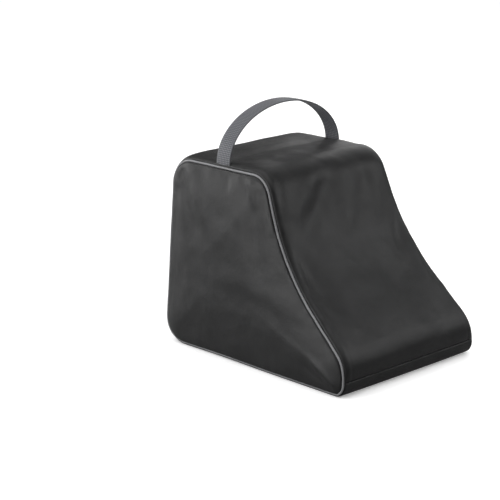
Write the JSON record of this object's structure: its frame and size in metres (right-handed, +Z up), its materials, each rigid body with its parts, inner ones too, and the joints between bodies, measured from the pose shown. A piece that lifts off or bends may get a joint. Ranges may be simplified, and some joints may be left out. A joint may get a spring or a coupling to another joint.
{
  "type": "shoe bag",
  "caption": "Boot-shaped zipped shoe bag with piped side panels, a zipped rear flap that folds down, and a webbing carry handle arched over its top.",
  "frame": {"origin": "middle of the bag's footprint, on the surface it stands on", "axes": "+X towards the toe, +Y towards the bag's left side, +Z up"},
  "size_m": [0.3584, 0.2618, 0.3421],
  "materials": {
    "side_cloth": "black plain-weave polyester",
    "body_cloth": "black plain-weave polyester",
    "piping_cloth": "light grey corded piping",
    "binding_tape": "black woven binding tape",
    "base_board": "black polyethylene stiffening board",
    "zip_tape": "black woven zip tape",
    "zip_teeth": "black nylon coil",
    "zip_metal": "dark grey plated die casting",
    "webbing": "blue-grey ribbed polypropylene webbing"
  },
  "bodies": {
    "bag": {"side_panel_left": "side_cloth", "side_panel_right": "side_cloth", "top_front_panel": "body_cloth", "base_panel": "body_cloth", "rear_surround": "body_cloth", "piping_left": "piping_cloth", "piping_right": "piping_cloth", "seam_binding_left": "binding_tape", "seam_binding_right": "binding_tape", "base_board": "base_board", "zip_tape_outer": "zip_tape", "zip_chain_outer": "zip_teeth", "zip_chain_end_left": "zip_teeth", "zip_chain_end_right": "zip_teeth", "zip_stop_left": "zip_metal", "zip_stop_right": "zip_metal", "handle_root_left": "webbing", "handle_root_right": "webbing"},
    "rear_flap": {"rear_flap_panel": "body_cloth", "zip_tape_flap": "zip_tape", "zip_chain_flap": "zip_teeth"},
    "slider": {"zip_slider": "zip_metal"},
    "puller": {"zip_puller": "zip_metal"},
    "handle": {"handle_webbing": "webbing"}
  },
  "joints": [
    {"name": "flap_fold", "type": "hinge", "parent": "bag", "child": "rear_flap", "pos_m": [-0.17277, 0, 0.06797], "axis": [0, -1, 0], "range_deg": [0, 110]},
    {"name": "slider_slide", "type": "slide", "parent": "bag", "child": "slider", "axis": [0.015, 0, 0.9999], "range_m": [0, 0.108]},
    {"name": "puller_swing", "type": "hinge", "parent": "slider", "child": "puller", "pos_m": [-0.17675, 0.08666, 0.05653], "axis": [0, 1, 0], "range_deg": [0, 70]},
    {"name": "handle_tilt", "type": "hinge", "parent": "bag", "child": "handle", "pos_m": [-0.071, 0, 0.28105], "axis": [0, 1, 0], "range_deg": [-60, 60], "stiffness_Nm_per_rad": 0.08}
  ]
}
